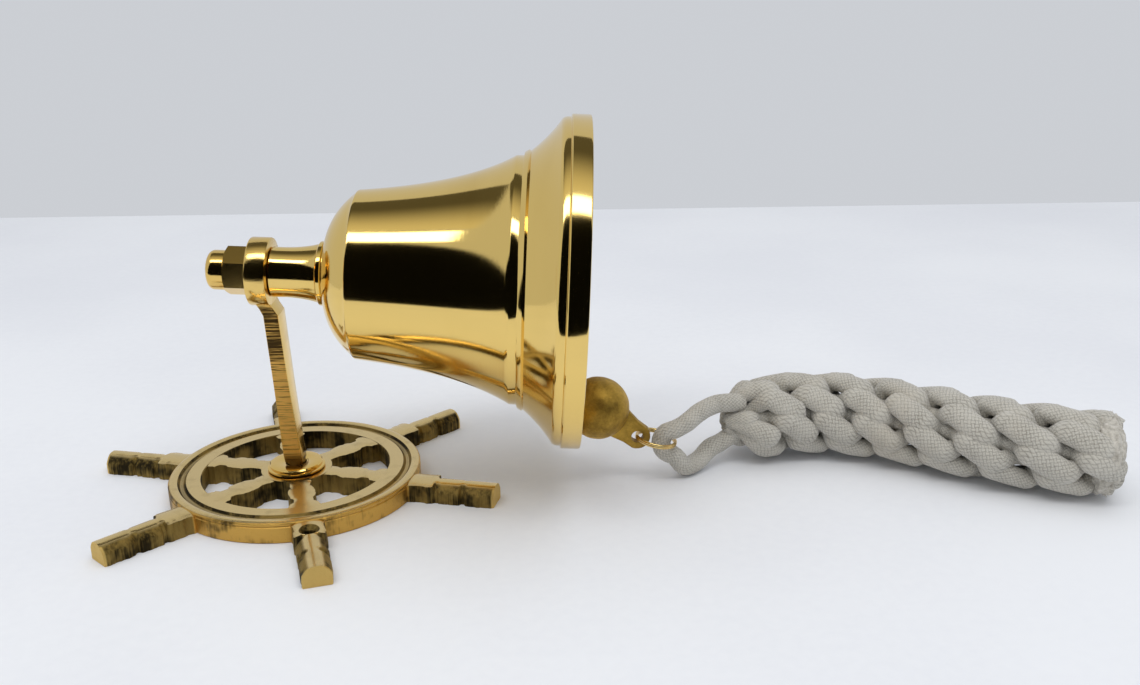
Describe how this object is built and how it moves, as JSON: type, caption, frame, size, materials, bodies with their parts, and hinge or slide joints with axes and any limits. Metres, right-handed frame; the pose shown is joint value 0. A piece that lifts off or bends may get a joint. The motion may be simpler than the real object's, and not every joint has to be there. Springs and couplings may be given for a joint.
{
  "type": "ship bell",
  "caption": "Wall-mount ship's bell of polished brass on a ship's-wheel back plate, with a bracket arm, a swinging clapper and a plaited cord lanyard.",
  "frame": {"origin": "centre of the wheel on its flat back, which goes against the wall", "axes": "+Z out of the wheel's back plate along the arm, +X along the bell towards its mouth, +Y to complete the frame. As fixed to a wall, +X points down."},
  "size_m": [0.3255, 0.1282, 0.1158],
  "materials": {
    "polished_brass": "mirror polished, fine turning lines",
    "cast_brass": "cast, filed and polished on its top faces",
    "rough_brass": "as cast, matte",
    "bright_brass": "bright machined",
    "cotton_cord": "braided cotton"
  },
  "bodies": {
    "mounting": {"wheel_plate": "cast_brass", "hub_collar": "polished_brass", "bracket_arm": "cast_brass", "foot_screw": "bright_brass", "cap_nut": "polished_brass", "hanger_bolt": "bright_brass", "neck_spacer": "polished_brass", "bell_body": "polished_brass", "crown_washer": "bright_brass", "lock_nut": "bright_brass"},
    "link": {"clapper_link": "bright_brass"},
    "clapper": {"clapper": "rough_brass"},
    "ring": {"split_ring": "bright_brass"},
    "lanyard": {"lanyard_loop": "cotton_cord", "lanyard_plait": "cotton_cord"}
  },
  "joints": [
    {"name": "link_turn", "type": "hinge", "parent": "mounting", "child": "link", "pos_m": [0.03006, 0, 0.06882], "axis": [0.9986, 0, -0.0523], "range_deg": [-35, 35]},
    {"name": "clapper_swing", "type": "hinge", "parent": "link", "child": "clapper", "pos_m": [0.04044, 0, 0.06828], "axis": [0, 1, 0], "range_deg": [-69.7, 0]},
    {"name": "ring_swing", "type": "hinge", "parent": "clapper", "child": "ring", "pos_m": [0.10825, 0, 0.01556], "axis": [0, 1, 0], "range_deg": [-25, 45]},
    {"name": "lanyard_swing", "type": "hinge", "parent": "ring", "child": "lanyard", "pos_m": [0.12038, 0, 0.01298], "axis": [0, 1, 0], "range_deg": [-45, 45]}
  ]
}
